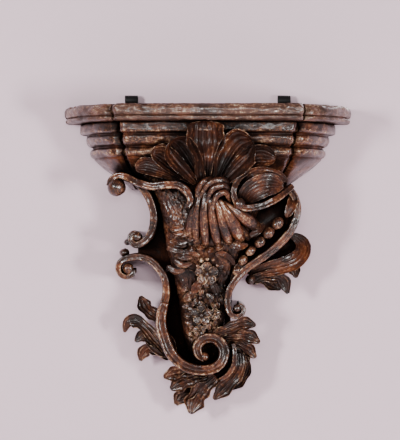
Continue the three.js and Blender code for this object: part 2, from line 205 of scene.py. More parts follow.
# %% Pulling a section along a route
def grow(bm, cap, keep):
    """Extrudes the end face once and takes the old one away, so the form stays hollow of faces."""
    grown = bmesh.ops.extrude_face_region(bm, geom=[cap])["geom"]
    if not keep:
        bm.faces.remove(cap)
    verts = [item for item in grown if isinstance(item, bmesh.types.BMVert)]
    return verts, next(item for item in grown if isinstance(item, bmesh.types.BMFace))


def pull(block, section, face_frames, foot_frames):
    """Extrudes a section through a list of frames. Section rows: across, depth, rub, foot."""
    bm = new_block()
    rub, run, sideways = [bm.verts.layers.float[name] for name in ("rub", "run", "across")]
    foot = bm.verts.layers.int["foot"]
    outline = []
    # Forms that start in different places get different streaks.
    start_run = face_frames[0].translation.x * 7 + face_frames[0].translation.z * 5
    middle_width = face_frames[len(face_frames) // 2].col[0].length
    for across, depth, rubbed, is_foot in section:
        start = foot_frames[0] if is_foot else face_frames[0]
        vert = bm.verts.new(start @ Vector((across, depth, 0)))
        vert[rub] = rubbed
        vert[run] = start_run
        vert[sideways] = across * middle_width
        vert[foot] = is_foot
        outline.append(vert)
    cap = bm.faces.new(outline)
    travelled = start_run
    for i in range(1, len(face_frames)):
        verts, cap = grow(bm, cap, keep=i == 1)
        for is_foot, frames in ((0, face_frames), (1, foot_frames)):
            group = [vert for vert in verts if vert[foot] == is_foot]
            step = frames[i] @ frames[i - 1].inverted()
            bmesh.ops.transform(bm, matrix=step, verts=group)
        travelled += (face_frames[i].translation - face_frames[i - 1].translation).length
        for vert in verts:
            vert[run] = travelled
    join_form(block, bm)


# %% [markdown]
# The scroll band has a worn fillet along each edge and a hollow between them, shallow on most scrolls
# and deep on the long one at the left. Its sides run back towards the wall. The carver would cut it with
# one gouge from end to end, so it is one section pulled along the whole route.

# %% Scroll band
USUAL_BAND = 11
DRAWN_IN = 0.8


def band_section(hollow):
    """Fillet, hollow and fillet, then the foot. Across in shares of the width, depth in metres."""
    front = [(-0.5, 0.0066, 0.1, 0), (-0.5, 0.003, 0.4, 0), (-0.46, 0.001, 0.8, 0), (-0.34, 0.0, 0.9, 0),
             (-0.2, 0.6 * hollow, 0.45, 0), (0.0, hollow, 0.3, 0)]
    front += [(-across, depth, 0.7 * rub, 0) for across, depth, rub, _ in reversed(front[:-1])]
    back = [(0.5, -0.004, 0.0, 1), (0.5, 0.0, 0.0, 1), (-0.5, 0.0, 0.0, 1), (-0.5, -0.004, 0.0, 1)]
    return front + back


def scroll(bm, path, width=USUAL_BAND, front=-100, rear=0, flare=0, steps=60, hollow=0.0013):
    """A moulded band along a path of the sheet. Front and rear are depths; flare leans the foot."""
    centres, headings = smooth_route([spot(x, 0, z) for x, z in path], steps)
    faces, feet = [], []
    for i, (centre, heading) in enumerate(zip(centres, headings)):
        share = i / steps
        side = Vector((-heading.z, 0, heading.x)).normalized()
        wide = along(width, share) * MM
        if share < 0.03 or share > 0.97:
            wide *= DRAWN_IN
        face = centre + Vector((0, along(front, share) * MM * stretch_y, 0))
        foot = centre + Vector((0, along(rear, share) * MM * stretch_y, 0))
        foot += side * along(flare, share) * MM
        faces.append(frame_at(face, side, Vector((0, 1, 0)), wide,
                              min(wide / (USUAL_BAND * MM), 1.3)))
        feet.append(frame_at(foot, side, Vector((0, 1, 0)), wide, 1.0))
    pull(bm, band_section(hollow), faces, feet)


print("points round a scroll band", len(band_section(1.3 * MM)))

# %% [markdown]
# Leaves, shell lobes and petals are blades: a hollow between two raised rims, with veins that run from
# the root to the tip. The number of veins and the swelling of the outline set what the blade is. One
# function makes them all, because the carver's cuts are the same for all and only the sizes differ.

# %% Blade of a leaf or shell
NOTCH = 0.13


def blade_section(veins, relief, thick, polish, cut):
    """Front from rim to rim with veins, then a plain rounded back. Depths in shares of half width."""
    count = 4 * (veins + 1)
    front = []
    for i in range(count + 1):
        across = -1 + 2 * i / count
        dish = relief * (1 - abs(across) ** 2.6)
        ripple = 0.5 + 0.5 * math.cos(math.pi * (veins + 1) * (across + 1))
        vein = cut * relief * ripple * (1 - 0.35 * abs(across))
        rubbed = max(0.1 + 0.5 * ripple * (0.4 + 0.6 * abs(across)), 0.95 * abs(across) ** 8) + polish
        front.append((across, dish - vein, rubbed, 0))
    back = [(1.0, 0.18, 0.6, 0), (0.8, thick, 0.1, 0), (0.3, 1.25 * thick, 0.05, 0),
            (-0.3, 1.25 * thick, 0.05, 0), (-0.8, thick, 0.1, 0), (-1.0, 0.18, 0.6, 0)]
    return front + back


def outward_frames(spine, steps, half_width):
    """Frames along points of the sheet that face out of the wall, each as wide as its share asks."""
    centres, headings = smooth_route([spot(*point) for point in spine], steps)
    frames = []
    for i, (centre, heading) in enumerate(zip(centres, headings)):
        side = Vector((-heading.z, 0, heading.x)).normalized()
        out = heading.cross(side).normalized()
        if out.y > 0:
            out.negate()
        half = half_width(i / steps)
        frames.append(frame_at(centre, side, -out, half, half))
    return frames


def blade(bm, spine, width, swell=(0.55, 0.9, 1, 0.9, 0.45), thick=9, veins=2, relief=0.3, steps=22,
          lobes=0, polish=0.0, tip=0.8, cut=0.34):
    """A leaf finger or shell lobe along points of the sheet. From `tip` on it rounds to its end."""
    def half_width(share):
        half = 0.5 * width * MM * along(swell, share)
        if lobes:
            half *= 1 + NOTCH * math.sin(2 * math.pi * lobes * share)
        round_end = max(0.0, (share - tip) / (1 - tip))
        return half * math.sqrt(max(1 - 0.94 * round_end ** 2, 0.04))

    frames = outward_frames(spine, steps, half_width)
    thick_share = thick / (0.5 * width)
    pull(bm, blade_section(veins, relief, thick_share, polish, cut), frames, frames)


def blades(bm, rows, **shape):
    """Several blades of one kind. A row holds points of the sheet, and a width."""
    for spine, width in rows:
        blade(bm, spine, width, **shape)


print("points round a leaf of two veins", len(blade_section(2, 0.3, 1.0, 0.0, 0.34)))

# %% [markdown]
# Scroll eyes, seeds and the ball at the end of the brow are knobs, rounded with a gouge held hollow side
# down. A sphere of even triangles is used, because it has no poles to show under the wax.

# %% Knobs
def boss(bm, x, y, z, radius_x, radius_y=None, radius_z=None, rub=0.55, detail=3):
    """A rounded knob at a place of the sheet, with its radii in millimetres."""
    radius_y = radius_y or radius_x
    radius_z = radius_z or radius_x
    radii = Matrix.Diagonal((radius_x * MM, radius_y * MM, radius_z * MM, 1))
    place = Matrix.Translation(spot(x, y, z)) @ radii
    form = new_block()
    bmesh.ops.create_icosphere(form, subdivisions=detail, radius=1.0, matrix=place)
    for vert in form.verts:
        vert[form.verts.layers.float["rub"]] = rub
    join_form(bm, form)


# %% [markdown]
# No cut by hand is quite true. Slow noise along the normals gives the slight wander of the chisel, quicker
# noise the tool marks, and a third one knocks back the parts that are rubbed most. Noise on the points is
# used rather than a bump map, so that the outline wanders too. Near the wall it fades out, and points at
# the wall stay on the wall.

# %% Working the surface
def read_points(mesh, what="co"):
    """The places of all points, or their normals, as rows of three."""
    values = np.empty(3 * len(mesh.vertices))
    source = mesh.vertices if what == "co" else mesh.vertex_normals
    source.foreach_get("co" if what == "co" else "vector", values)
    return values.reshape(-1, 3)


def write_points(mesh, points):
    """Puts moved points back, and keeps every one of them off the wall."""
    points[:, 1] = np.minimum(points[:, 1], 0)
    mesh.vertices.foreach_set("co", points.ravel())
    mesh.update()


def work_surface(mesh, wander, tooling, worn):
    """Moves the points along their normals by slow and quick noise, and wears rubbed edges unevenly."""
    points, normals = read_points(mesh), read_points(mesh, "normal")
    # The factors are how many swells of the noise fit in a metre. Tool marks are longer upward.
    stretched = points * (260, 260, 150) + (7, 3, 1)
    slow = np.array([noise.noise(place) for place in (points * 38).tolist()])
    quick = np.array([noise.noise(place) for place in stretched.tolist()])
    knocks = np.array([noise.noise(place) for place in (points * 120 + 5).tolist()])
    rub = np.empty(len(points))
    mesh.attributes["rub"].data.foreach_get("value", rub)
    loss = worn * np.clip(rub, 0, 1) * np.clip(2 * knocks + 0.3, 0, 1.3)
    fade = np.clip((-points[:, 1] - 2 * MM) / (6 * MM), 0, 1)
    write_points(mesh, points + normals * ((wander * slow + tooling * quick - loss) * fade)[:, None])


# %% [markdown]
# Every form of a piece goes into one mesh and is turned outward. The carved forms are smoothed once by
# subdivision, the punched ground more, and the mouldings not at all, because their profiles are fine
# enough and their arrises have to stay. Then the surface is worked, the piece is hung under the root, and
# its solid in the frame is hidden.

# %% From block to finished piece
ARRIS_ANGLE = math.radians(42)


def finish_piece(bm, name, node, levels=1, wander=0.0006, tooling=0.00022, grain_along="Z",
                 worn=0.0007):
    """Makes the object, smooths it, works the surface by hand and ties it to the frame."""
    bmesh.ops.recalc_face_normals(bm, faces=bm.faces[:])
    run, across, rub = [bm.verts.layers.float[layer] for layer in ("run", "across", "rub")]
    for vert in bm.verts:
        if vert.co.y > -MM:
            vert[rub] = 0.0
        if vert[run] == 0.0:
            main, other = (vert.co.x, vert.co.z) if grain_along == "X" else (vert.co.z, vert.co.x)
            vert[run] = main
            vert[across] = other - 0.7 * vert.co.y
    mesh = bpy.data.meshes.new(name)
    bm.to_mesh(mesh)
    bm.free()
    piece = bpy.data.objects.new(name, mesh)
    bpy.context.scene.collection.objects.link(piece)
    smooth = piece.modifiers.new("smooth", "SUBSURF")
    smooth.levels = smooth.render_levels = levels
    applied = bpy.data.meshes.new_from_object(piece.evaluated_get(bpy.context.evaluated_depsgraph_get()))
    piece.modifiers.clear()
    piece.data = applied
    applied.name = name
    bpy.data.meshes.remove(mesh)
    work_surface(applied, wander, tooling, worn)
    applied.polygons.foreach_set("use_smooth", [True] * len(applied.polygons))
    if levels == 0:
        applied.set_sharp_from_angle(angle=ARRIS_ANGLE)
    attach(piece, "root")
    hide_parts(node)
    triangles = sum(len(face.vertices) - 2 for face in applied.polygons)
    print(name, "triangles", triangles)
    return piece


# %% [markdown]
# The plan of the shelf runs out from the wall in a round wing, drops into a sharp notch, and steps
# forward to the flat breakfront. Shelf and cornice share this plan at different offsets, so the notch
# carries down through every moulding. A plain offset of one outline would fold over itself in the notch,
# so each part of the plan moves in by its own share.

# %% Plan of the shelf
breakfront_width, breakfront_step = 280 * MM * stretch_x, 24 * MM * stretch_y
WING_STEPS = 26
FLAT_STEPS = 30
PROUD = 0.2 * MM  # how far the worked surface stands out from the solid


def half_plan(inset, notch=7.0):
    """Right half of the plan at an inward offset, from the wall to the end of the flat front."""
    end = shelf_width / 2 - inset + PROUD
    step = breakfront_width / 2 - 0.42 * inset
    front = shelf_depth - inset + PROUD
    wing_front = shelf_depth + PROUD - breakfront_step - 0.85 * inset
    p0, p1 = Vector((end, 0, 0)), Vector((end, -0.42 * wing_front, 0))
    p2 = Vector((end - 0.35 * (end - step), -0.86 * wing_front, 0))
    p3 = Vector((step + (notch + 6) * MM, -wing_front, 0))
    points = []
    for i in range(WING_STEPS + 1):
        t = i / WING_STEPS
        u = 1 - t
        points.append(p0 * u ** 3 + p1 * 3 * u * u * t + p2 * 3 * u * t * t + p3 * t ** 3)
    notch_points = ((1.0, 0.8), (0.62, 0.3 * notch), (0.4, 0.9 * notch), (0.15, notch), (0.0, 0.6 * notch))
    for across, back in notch_points:
        points.append(Vector((step + across * notch * MM, -wing_front + back * MM, 0)))
    for x, y in ((0, 12), (0, 7), (-0.8, 3.5), (-3, 1), (-6, 0.1)):
        points.append(Vector((step + x * MM, -front + y * MM, 0)))
    flat = step - 8 * MM
    points.extend(Vector((flat * (1 - k / FLAT_STEPS), -front, 0)) for k in range(1, FLAT_STEPS))
    return points


def plan_ring(inset, height, notch):
    """The whole plan at one height: the right half, the middle, and the right half mirrored."""
    right = half_plan(inset, notch)
    left = [Vector((-point.x, point.y, 0)) for point in reversed(right)]
    middle = [Vector((0, right[-1].y, 0))]
    return [point + Vector((0, 0, height)) for point in right + middle + left]


print("points round the plan", len(plan_ring(0, 0, 7)))

# %% [markdown]
# A moulding on a straight edge is planed in one pass, and a mesh could have it swept round the plan. Here
# the plan's corners would tear a swept profile, so the piece is stacked instead: the plan is extruded
# upward, and each new end face is moved to the plan of its own height. Any body that changes as it rises
# can be made so, and the console body below uses the same helper.

# %% Stacking rings
def finer(levels, parts=3):
    """Puts smooth in-between levels into a moulding profile."""
    rows = np.array(levels)
    rows = np.vstack([2 * rows[0] - rows[1], rows, 2 * rows[-1] - rows[-2]])
    result = []
    for i in range(1, len(rows) - 2):
        for k in range(parts):
            t = k / parts
            p0, p1, p2, p3 = rows[i - 1:i + 3]
            result.append(0.5 * (2 * p1 + (p2 - p0) * t + (2 * p0 - 5 * p1 + 4 * p2 - p3) * t ** 2
                                 + (3 * p1 - p0 - 3 * p2 + p3) * t ** 3))
    return [tuple(row) for row in result] + [tuple(rows[-2])]


def stack_rings(bm, rings, rubs):
    """Extrudes the first ring and moves each new end face onto the next. One rub for each ring."""
    rub = bm.verts.layers.float["rub"]
    order = [bm.verts.new(point) for point in rings[0]]
    for vert in order:
        vert[rub] = rubs[0]
    foot = cap = bm.faces.new(order)
    for ring, rubbed in zip(rings[1:], rubs[1:]):
        first = order[0].co.copy()
        cap = grow(bm, cap, keep=cap is foot)[1]
        count = len(ring)
        start = min(range(count), key=lambda i: (cap.verts[i].co - first).length)
        order = [cap.verts[(start + i) % count] for i in range(count)]
        for vert, point in zip(order, ring):
            vert.co = point
            vert[rub] = rubbed


def stack_mouldings(bm, levels, notch=7.0):
    """Stacks the plan through levels of inset, height and rub."""
    levels = finer(levels)
    rings = [plan_ring(inset, height, notch) for inset, height, _ in levels]
    stack_rings(bm, rings, [rubbed for _, _, rubbed in levels])


print("levels between two given ones", len(finer([(0, 0, 0), (1, 1, 1)])) - 2)

# %% [markdown]
# The shelf board has a moulded edge in two bands: a thin rounded lip below, a broad band above that rolls
# over to the top, and a quirk between them. It is stacked from the plan at changing insets, so both bands
# run round the notch without a joint. The levels give the inset in millimetres, the share of the height,
# and the rub.

# %% Shelf board
def shelf_level(inset, share, rubbed):
    """One level of the edge, from millimetres and a share of the height to metres."""
    return inset * MM, shelf_low.z + share * (shelf_high.z - shelf_low.z), rubbed


shelf_block = new_block()
stack_mouldings(shelf_block, [shelf_level(*row) for row in (
    (13, 0, 0.1), (10, 0, 0.3), (6.5, 0.01, 0.5), (3.8, 0.04, 0.7), (2.2, 0.1, 0.9), (1.8, 0.17, 1.0),
    (2.2, 0.235, 0.9), (3.2, 0.27, 0.5), (4.4, 0.29, 0.1), (4.4, 0.32, 0.1), (2.6, 0.35, 0.6),
    (1.2, 0.42, 0.9), (0.4, 0.54, 0.95), (0.2, 0.66, 0.9), (0.8, 0.8, 0.9), (2.2, 0.92, 1.0),
    (4.6, 0.985, 1.0), (8, 1.0, 0.8), (14, 1.0, 0.4))], notch=4.5)
shelf_piece = finish_piece(shelf_block, "shelf_board_worn", "shelf_board", levels=0,
                           wander=0.0011, tooling=0.0003, grain_along="X", worn=0.0022)

# %% [markdown]
# The old wood is chipped at the left end, and in small places all along the edge. A chip is made by moving
# the points near one place inward, most in the middle and raggedly by noise. A boolean cut would leave a
# clean face, and broken wood never has one. After that the wide top and underside are planed true again.

# %% Chips and flats of the shelf
def chip_edge(mesh):
    """Bites out of the worn edge, large at the left end. Place, reach and depth in millimetres."""
    bites = [(-220, -12, 38, 12, 9), (-218, -30, 34, 9, 6), (-216, -44, 52, 9, 4), (-208, -66, 54, 8, 3),
             (-190, -108, 31, 9, 4), (-168, -134, 54, 7, 2.5), (-60, -175, 31, 9, 2.4), (60, -175, 30, 10, 3),
             (96, -175, 54, 8, 2), (150, -148, 54, 8, 2.6), (212, -48, 53, 9, 3.4), (219, -20, 34, 10, 4.5),
             (20, -175, 55, 9, 2), (-118, -175, 54, 8, 2.4), (-96, -175, 30, 9, 2.6), (126, -175, 31, 8, 2.6)]
    points = read_points(mesh)
    middle = np.array((0, -70 * MM, (shelf_low.z + shelf_high.z) / 2))
    rough = np.array([0.7 + 0.5 * noise.noise(place) for place in (points * 420).tolist()])
    for x, y, z, reach, bite in bites:
        away = np.linalg.norm(points - np.array((x, y, z)) * MM, axis=1) / (reach * MM)
        inward = (middle - points) * (1, 1, 0.35)
        inward /= np.linalg.norm(inward, axis=1, keepdims=True)
        points += inward * (bite * MM * np.clip(1 - away * away, 0, 1) * rough)[:, None]
    write_points(mesh, points)


def true_flats(mesh, wide=0.01, level=0.9):
    """Planes the wide top and underside true, and shades them flat."""
    for face in mesh.polygons:
        if face.area > wide and abs(face.normal.z) > level:
            height = shelf_high.z if face.normal.z > 0 else shelf_low.z
            face.use_smooth = False
            for index in face.vertices:
                mesh.vertices[index].co.z = height


chip_edge(shelf_piece.data)
true_flats(shelf_piece.data)
print("shelf top at", round(max(vert.co.z for vert in shelf_piece.data.vertices), 4))

# %% [markdown]
# The cornice is one stack of mouldings under the board. From the top they are a flat fillet with a rubbed
# lower arris, a quarter round that sweeps back to a quirk, a bead, and a long curve that dies into the
# console. The rows below run from the bottom up, and give inset, height on the sheet, and rub.

# %% Cornice
cornice_profile = (
    (104, -70, 0.1), (92, -60, 0.2), (80, -51, 0.3), (68, -43, 0.4), (59, -36.5, 0.4), (52, -30, 0.35),
    (47, -25.6, 0.2), (46, -23.8, 0.05), (45.4, -22.2, 0.05), (42.4, -20.8, 0.3), (40.2, -18.2, 0.7),
    (39.6, -14.6, 0.85), (40.4, -11.2, 0.7), (42.4, -9.2, 0.3), (44.4, -7.8, 0.1), (43.8, -6.2, 0.1),
    (40, -4.6, 0.35), (36.2, -2, 0.6), (34, 2, 0.8), (33.2, 5.6, 0.7), (33.8, 8.6, 0.4), (35, 10.8, 0.15),
    (34, 12.4, 0.1), (28, 13.6, 0.3), (24.9, 15, 0.9), (24.1, 16.6, 0.7), (24, 19, 0.5), (24, 24, 0.5),
    (24.2, 27, 0.5), (25.4, 28.8, 0.3), (27, 29.6, 0.1), (34, 29.6, 0.0))
cornice_block = new_block()
stack_mouldings(cornice_block, [(inset * MM, spot(0, 0, height).z, rubbed)
                                for inset, height, rubbed in cornice_profile])
cornice_piece = finish_piece(cornice_block, "cornice_mouldings", "carved_bracket", levels=0,
                             wander=0.0016, tooling=0.0004, grain_along="X", worn=0.0014)

# %% [markdown]
# The console body is a tapering block with a flat back. Its front is a punched ground, which the carver
# matted with a small round punch so that flowers and scrolls stand out against it. The punch marks move
# the points themselves, so that their little walls can catch the light. The rows give height, reach to
# the left and to the right, and depth on the sheet.

# %% Console body
body_sections = (
    (0, 128, 128, 104), (-25, 118, 122, 110), (-50, 106, 112, 116), (-67, 90, 97, 121), (-84, 76, 84, 124),
    (-104, 70, 74, 125), (-125, 66, 66, 125), (-145, 63, 58, 119), (-165, 60, 52, 111), (-186, 55, 44, 101),
    (-207, 50, 38, 93), (-224, 47, 32, 87), (-240, 45, 28, 82), (-266, 41, 25, 74), (-293, 37, 23, 66),
    (-320, 30, 19, 54), (-340, 23, 16, 43), (-354, 17, 13, 34))
FRONT_STEPS = 26


def body_ring(height, left, right, depth):
    """Flat back, straight sides and a front rounded at its corners, seen from above."""
    ring = [spot(-left, 0, height), spot(-left, -0.3 * depth, height), spot(-left, -0.6 * depth, height)]
    for i in range(FRONT_STEPS + 1):
        angle = math.pi * i / FRONT_STEPS
        across = -math.copysign(abs(math.cos(angle)) ** 0.5, math.cos(angle))
        x = across * (left if across < 0 else right)
        y = -depth * (0.66 + 0.34 * max(math.sin(angle), 0.0) ** 0.7)
        ring.append(spot(x, y, height))
    ring += [spot(right, -0.6 * depth, height), spot(right, -0.3 * depth, height), spot(right, 0, height)]
    return ring


def punch_ground(mesh, pitch=0.0052, depth=0.0026):
    """Sinks small round punch marks between raised crumbs of wood over the front of the ground."""
    points, normals = read_points(mesh), read_points(mesh, "normal")
    near = np.array([noise.voronoi(place)[0][0] for place in (points / pitch).tolist()])
    crumbs = 0.5 + 0.5 * np.cos(math.pi * np.clip(near / 0.7, 0, 1))
    front = np.clip((-normals[:, 1] - 0.1) / 0.3, 0, 1)
    write_points(mesh, points + normals * (depth * (crumbs - 0.6) * front)[:, None])


body_block = new_block()
stack_rings(body_block, [body_ring(*row) for row in body_sections], [0.42] * len(body_sections))
body_piece = finish_piece(body_block, "console_body", "carved_bracket", levels=3,
                          wander=0.0016, tooling=0.0006)
punch_ground(body_piece.data)

# %% [markdown]
# Between the body and the scrolls the wood is cut back to a web that stays in the dark. A web is a flat
# outline pushed out from the wall with its edge taken off. That is enough, since little of it is seen but
# shadow.

# %% Hollow webs
def web(bm, outline, thick):
    """A flat web standing off the wall between body and scrolls, with its front edge taken off."""
    rub = bm.verts.layers.float["rub"]
    verts = [bm.verts.new(spot(x, 0, z)) for x, z in outline]
    for vert in verts:
        vert[rub] = 0.0
    face = bm.faces.new(verts)
    grown = bmesh.ops.extrude_face_region(bm, geom=[face])["geom"]
    moved = [item for item in grown if isinstance(item, bmesh.types.BMVert)]
    bmesh.ops.translate(bm, vec=(0, -thick * MM, 0), verts=moved)
    rim = [edge for edge in bm.edges if edge.verts[0] in moved and edge.verts[1] in moved]
    bmesh.ops.bevel(bm, geom=rim, offset=2 * MM, segments=2, profile=0.5, affect="EDGES", material=-1)


web_block = new_block()
web(web_block, ((-58, -168), (-64, -215), (-70, -262), (-64, -298), (-46, -327), (-16, -341), (20, -362),
                (36, -346), (44, -318), (34, -262), (40, -205)), 14)
web(web_block, ((-60, -60), (-86, -82), (-81, -120), (-94, -148), (-106, -152), (-106, -172), (-80, -184),
                (-40, -200)), 50)
web(web_block, ((60, -80), (126, -74), (132, -98), (120, -136), (76, -174), (46, -196), (30, -160)), 64)
web(web_block, ((70, -172), (118, -140), (142, -142), (145, -165), (118, -182), (74, -192)), 40)
web_piece = finish_piece(web_block, "hollow_webs", "carved_bracket", levels=0,
                         wander=0.0, tooling=0.0)

# %% [markdown]
# The scrolls on the left are a brow that rolls off the cornice and curls in over the ground, a ball at its
# outer end, an open C below it, and a hooked C that turns out. Each is drawn as its path on the sheet,
# with its widths and the depths of its front from one end to the other.

# %% Left scrolls
left_block = new_block()
scroll(left_block, ((-149, -66), (-144, -56), (-134, -50), (-122, -52), (-105, -60), (-84, -66),
                    (-60, -64), (-43, -65), (-31, -75), (-26, -87), (-31, -99)), width=[8, 10, 11, 12, 12, 9],
       front=[-112, -122, -140, -150, -154, -150], rear=-40, steps=72)
boss(left_block, -136, -108, -67, 14, 15, 14, detail=4)
scroll(left_block, [(-127, -53), (-108, -59), (-93, -75), (-84, -95), (-81, -114), (-85, -134), (-94, -147)]
       + curl(-107, -141, 268, 60, 12.5, 4.5), width=[10, 12, 12, 11, 7], front=[-112, -110, -104, -96, -92],
       rear=-4, flare=[0, 12, 10, 2, 0], steps=72)
boss(left_block, -106, -88, -141, 8, 7, 8)
scroll(left_block, curl(-121, -190, 10, -258, 9, 16)
       + [(-105, -171), (-88, -176), (-75, -188), (-66, -201), (-63, -218), (-64, -233), (-69, -246)],
       width=[7, 9, 11, 12, 12], front=[-74, -80, -86, -90, -84], rear=-4, steps=76)
boss(left_block, -120, -72, -189, 9, 7, 9)
boss(left_block, -126, -66, -165, 8, 10, 7)
boss(left_block, -121, -76, -149, 6, 10, 5)
left_piece = finish_piece(left_block, "left_scrolls", "carved_bracket")

# %% [markdown]
# The scrolls on the right are the rim of the rolled leaf beside the drapery, and the long C that swings
# out and comes back in to end in a small curl. A thin outer band runs beside the lower volute. They are
# made like the left ones, with paths of their own, because the two sides don't mirror each other.

# %% Right scrolls
right_block = new_block()
scroll(right_block, ((66, -43), (49, -52), (40, -64), (37, -77), (43, -91), (54, -98), (68, -97), (84, -93),
                     (98, -86), (112, -77), (127, -64)), width=[7, 10, 11, 11, 9],
       front=[-146, -158, -156, -146, -122], rear=-60)
scroll(right_block, [(112, -66), (124, -74), (132, -90), (133, -104), (129, -120), (122, -134), (111, -147),
                     (96, -161), (78, -174), (58, -188), (43, -203), (33, -219), (29, -234)]
       + curl(44, -249, 172, 450, 14, 7), width=[12, 12, 12, 12, 10, 7],
       front=[-104, -108, -106, -102, -96, -90], steps=86)
boss(right_block, 44, -86, -248, 7, 6, 7)
scroll(right_block, ((38, -300), (40, -318), (38, -336), (29, -350), (14, -360)), width=[7, 8, 8, 7],
       front=[-70, -70, -66, -58], rear=-20, steps=24)
right_piece = finish_piece(right_block, "right_scrolls", "carved_bracket")

# %% [markdown]
# The long scroll carries on from the left side down to the volute, the rolled end at the middle of the
# foot. It is the broadest band and deeply hollowed, with a knob as its eye. Its path is one sweep that
# goes over into a spiral of nearly a full turn, because a seam between the two would show in the wax.

# %% Long scroll and volute
long_block = new_block()
scroll(long_block, [(-64, -238), (-70, -258), (-70, -278), (-64, -297), (-57, -314), (-46, -327), (-33, -336),
                    (-16, -341)] + curl(0, -313, 272, 610, 28, 13),
       width=[14.5, 16.5, 16.5, 15.5, 15.5, 16.5, 15.5, 11], front=[-94, -92, -88, -84, -82, -80],
       steps=110, hollow=3.6 * MM)
boss(long_block, -5, -76, -321, 6.5)
long_piece = finish_piece(long_block, "long_scroll", "carved_bracket")

# %% [markdown]
# The shell under the shelf opens from a root above the drapery. Each lobe is scooped out, with fine
# tool lines in the hollow and a rim that stands proud and is rubbed pale. The lobes are broad blades that
# overlap as cut ones do. To the right a leaf rolls over, made of two more blades and a knob.

# %% Shell
shell_block = new_block()
lobe = dict(swell=(0.42, 0.66, 0.88, 1, 1, 0.72), thick=24, veins=6, relief=0.72, steps=30, polish=-0.04,
            cut=0.15)
blade(shell_block, ((-40, -140, -56), (-70, -148, -42), (-92, -142, -36), (-108, -134, -40)), 26, **lobe)
blade(shell_block, ((-22, -146, -58), (-50, -154, -34), (-68, -154, -20), (-84, -150, -16)), 33, **lobe)
blade(shell_block, ((28, -146, -56), (50, -152, -34), (72, -152, -22), (100, -146, -26)), 33, **lobe)
blade(shell_block, ((-12, -148, -60), (-28, -158, -34), (-42, -161, -14), (-54, -161, 1)), 50, **lobe)
blade(shell_block, ((14, -148, -60), (34, -158, -30), (50, -161, -9), (66, -159, 0)), 60, **lobe)
crown = dict(lobe, swell=(0.42, 0.54, 0.68, 0.84, 1.02, 1.16), lobes=2, tip=0.9)
blade(shell_block, ((-4, -150, -60), (-3, -162, -22), (-4, -166, 6), (-4, -171, 28)), 58, **crown)
blade(shell_block, ((50, -140, -94), (62, -154, -76), (86, -160, -64), (112, -142, -66)), 36, thick=18,
      veins=6, swell=(0.5, 0.9, 1, 0.9, 0.5), relief=0.2)
blade(shell_block, ((48, -138, -66), (66, -154, -50), (92, -150, -50), (118, -128, -58)), 22, thick=18,
      veins=3)
boss(shell_block, 46, -152, -92, 9, 9, 9)
shell_piece = finish_piece(shell_block, "shell_and_rolled_leaf", "carved_bracket")

# %% [markdown]
# The drapery hangs from a tight neck and fans out. Each fold is carved as its own round ridge: those on
# the left fall straight, those on the right swing out towards the long C. A few strands are wound over
# the neck, and the hem ends in small turned-up leaves. A cloth simulation would give soft cloth and not
# the tight ridges of a gouge, so each fold is a section pulled along its own spine. Behind them a plain
# fan closes the gaps.

# %% Fan behind the folds
drapery_levels = ((-54, -6, 24, 138), (-68, -13, 26, 146), (-84, -17, 30, 147), (-102, -24, 48, 140),
                  (-124, -28, 66, 131), (-148, -32, 56, 120))
ACROSS_STEPS, DOWN_STEPS = 30, 20


def drapery_ring(share):
    """The plain fan behind the folds, cut across part of the way down."""
    height, left, right, depth = [along([row[k] for row in drapery_levels], share) for k in range(4)]
    ring = []
    for i in range(ACROSS_STEPS + 1):
        t = i / ACROSS_STEPS
        ring.append(spot(left + (right - left) * t, -(depth - 14 + 11 * math.sin(math.pi * t)), height))
    ring += [spot(right, -70, height), spot(left, -70, height)]
    return ring


drapery_block = new_block()
fan_rings = [drapery_ring(i / DOWN_STEPS) for i in range(DOWN_STEPS + 1)]
stack_rings(drapery_block, fan_rings, [0.2] * len(fan_rings))
print("rings of the fan", len(fan_rings))


# %% Folds, strands and hem
def ridge_section():
    """A round ridge with two soft grooves, for a fold of cloth."""
    front = [(-1.0, 0.9, 0.05, 0), (-0.86, 0.42, 0.2, 0), (-0.6, 0.12, 0.5, 0), (-0.42, 0.1, 0.35, 0),
             (-0.24, 0.0, 0.7, 0), (0.0, 0.05, 0.6, 0)]
    front += [(-across, depth, rub, 0) for across, depth, rub, _ in reversed(front[:-1])]
    return front + [(0.9, 1.8, 0.0, 0), (-0.9, 1.8, 0.0, 0)]


def fold(bm, spine, width, swell=(0.5, 0.8, 1.05, 1.25, 1.2, 0.85), steps=28):
    """One fold of the drapery along points of the sheet."""
    frames = outward_frames(spine, steps, lambda share: 0.5 * width * MM * along(swell, share))
    pull(bm, ridge_section(), frames, frames)


for spine, width in (
        (((-18, -148, -84), (-25, -138, -116), (-31, -108, -152)), 11),
        (((-12, -152, -74), (-17, -148, -106), (-18, -114, -153)), 12),
        (((-4, -156, -72), (-6, -154, -106), (-3, -118, -155)), 13),
        (((3, -158, -74), (5, -158, -102), (10, -142, -130), (15, -116, -156)), 13),
        (((9, -158, -80), (16, -158, -102), (24, -144, -128), (33, -116, -154)), 14),
        (((15, -156, -86), (28, -156, -106), (40, -142, -128), (52, -114, -149)), 18),
        (((20, -152, -90), (42, -150, -104), (60, -136, -117), (80, -108, -133)), 18),
        (((32, -132, -112), (48, -126, -130), (64, -106, -146)), 14)):
    fold(drapery_block, spine, width)
for spine, width in (
        (((36, -140, -72), (20, -164, -58), (2, -164, -63), (-12, -150, -84)), 12),
        (((36, -144, -82), (22, -167, -66), (8, -168, -70), (-3, -156, -92)), 11),
        (((34, -146, -91), (24, -168, -76), (13, -168, -80), (6, -156, -102)), 10),
        (((8, -150, -54), (-4, -160, -58), (-14, -156, -70), (-17, -146, -88)), 9)):
    fold(drapery_block, spine, width, swell=(0.7, 1, 1, 0.6))
